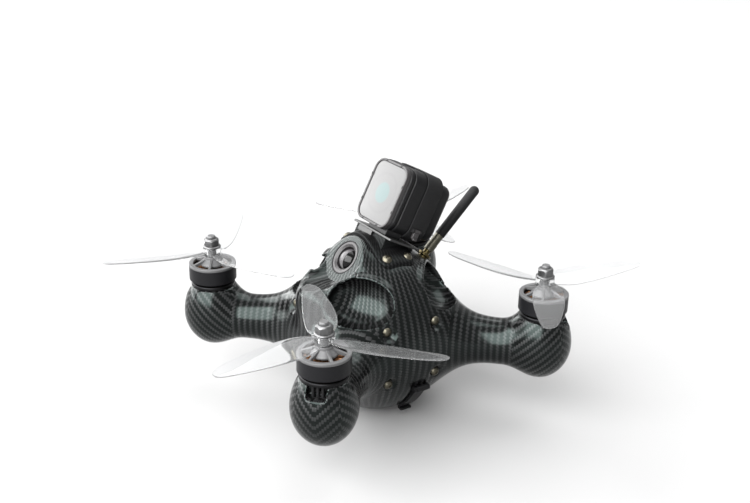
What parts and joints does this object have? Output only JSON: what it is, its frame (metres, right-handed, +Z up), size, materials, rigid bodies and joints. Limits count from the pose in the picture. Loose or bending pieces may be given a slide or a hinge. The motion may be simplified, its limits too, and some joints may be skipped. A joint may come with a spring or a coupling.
{
  "type": "quadcopter drone",
  "caption": "Racing quadcopter with a moulded carbon hull, arms swelling into motor pods, clear three-blade propellers, a pilot camera in the nose and an action camera on top.",
  "frame": {"origin": "centre of the flat disc under the belly, on which the hull stands", "axes": "+Z up, -Y forwards to the nose and the camera, +X to the drone's own left"},
  "size_m": [0.2348, 0.2695, 0.146],
  "materials": {
    "carbon_shell": "clear-coated carbon weave",
    "screw_steel": "satin",
    "frame_plastic": "printed",
    "brass": "satin",
    "board": "solder mask",
    "battery_wrap": "shrink film",
    "plug_yellow": "moulded",
    "grey_ring": "satin",
    "camera_black": "fine grain",
    "lens_glass": "polished",
    "bracket_metal": "satin",
    "window": "polished",
    "motor_metal": "turned",
    "winding": "enamelled copper",
    "bell_black": "satin",
    "prop_clear": "clear",
    "rubber_black": "matte"
  },
  "bodies": {
    "airframe": {"upper_shell": "carbon_shell", "lower_shell": "carbon_shell", "belly_cover": "carbon_shell", "body_screws": "screw_steel", "inner_frame": "frame_plastic", "board_standoffs": "brass", "power_board": "board", "flight_controller": "board", "video_transmitter": "board", "radio_receiver": "board", "battery": "battery_wrap", "battery_plug": "plug_yellow", "fpv_bezel": "grey_ring", "bracket_base": "carbon_shell", "camera_bracket": "bracket_metal", "camera_case": "camera_black", "camera_bezel": "grey_ring", "camera_window": "window", "camera_band": "camera_black", "antenna_connector": "brass", "antenna_barrel": "screw_steel", "antenna_whip": "rubber_black", "latch_hinge_left": "camera_black", "latch_hinge_right": "camera_black", "motor_screws": "screw_steel", "motor_wires": "rubber_black", "motor_base_front_left": "motor_metal", "stator_front_left": "winding", "motor_base_front_right": "motor_metal", "stator_front_right": "winding", "motor_base_rear_left": "motor_metal", "stator_rear_left": "winding", "motor_base_rear_right": "motor_metal", "stator_rear_right": "winding"},
    "pilot_camera": {"fpv_camera": "camera_black", "fpv_lens": "lens_glass"},
    "shutter_button": {"shutter_button": "camera_black"},
    "band_latch": {"band_latch": "grey_ring"},
    "belly_latch_left": {"belly_latch_left": "camera_black"},
    "belly_latch_right": {"belly_latch_right": "camera_black"},
    "rotor_front_left": {"rotor_ring_front_left": "bell_black", "rotor_cap_front_left": "motor_metal", "propeller_front_left": "prop_clear", "prop_nut_front_left": "screw_steel"},
    "rotor_front_right": {"rotor_ring_front_right": "bell_black", "rotor_cap_front_right": "motor_metal", "propeller_front_right": "prop_clear", "prop_nut_front_right": "screw_steel"},
    "rotor_rear_left": {"rotor_ring_rear_left": "bell_black", "rotor_cap_rear_left": "motor_metal", "propeller_rear_left": "prop_clear", "prop_nut_rear_left": "screw_steel"},
    "rotor_rear_right": {"rotor_ring_rear_right": "bell_black", "rotor_cap_rear_right": "motor_metal", "propeller_rear_right": "prop_clear", "prop_nut_rear_right": "screw_steel"}
  },
  "joints": [
    {"name": "spin_front_left", "type": "hinge", "parent": "airframe", "child": "rotor_front_left", "pos_m": [0.067, -0.0713, 0.077], "axis": [0, 0, 1], "continuous": true},
    {"name": "spin_front_right", "type": "hinge", "parent": "airframe", "child": "rotor_front_right", "pos_m": [-0.067, -0.0713, 0.077], "axis": [0, 0, 1], "continuous": true},
    {"name": "spin_rear_left", "type": "hinge", "parent": "airframe", "child": "rotor_rear_left", "pos_m": [0.067, 0.0713, 0.077], "axis": [0, 0, 1], "continuous": true},
    {"name": "spin_rear_right", "type": "hinge", "parent": "airframe", "child": "rotor_rear_right", "pos_m": [-0.067, 0.0713, 0.077], "axis": [0, 0, 1], "continuous": true},
    {"name": "pilot_camera_tilt", "type": "hinge", "parent": "airframe", "child": "pilot_camera", "pos_m": [0, -0.0153, 0.0916], "axis": [1, 0, 0], "range_deg": [-8, 8]},
    {"name": "shutter_press", "type": "slide", "parent": "airframe", "child": "shutter_button", "axis": [0, -0.454, -0.891], "range_m": [0, 0.0005], "stiffness_N_per_m": 400, "springref_m": -0.0005},
    {"name": "band_latch_hinge", "type": "hinge", "parent": "airframe", "child": "band_latch", "pos_m": [0.019, 0.016, 0.10951], "axis": [0, -0.891, 0.454], "range_deg": [0, 100]},
    {"name": "belly_latch_hinge_left", "type": "hinge", "parent": "airframe", "child": "belly_latch_left", "pos_m": [0.04638, 0.0036, 0.0264], "axis": [0, -1, 0], "range_deg": [0, 110]},
    {"name": "belly_latch_hinge_right", "type": "hinge", "parent": "airframe", "child": "belly_latch_right", "pos_m": [-0.04638, 0.0036, 0.0264], "axis": [0, 1, 0], "range_deg": [0, 110]}
  ]
}
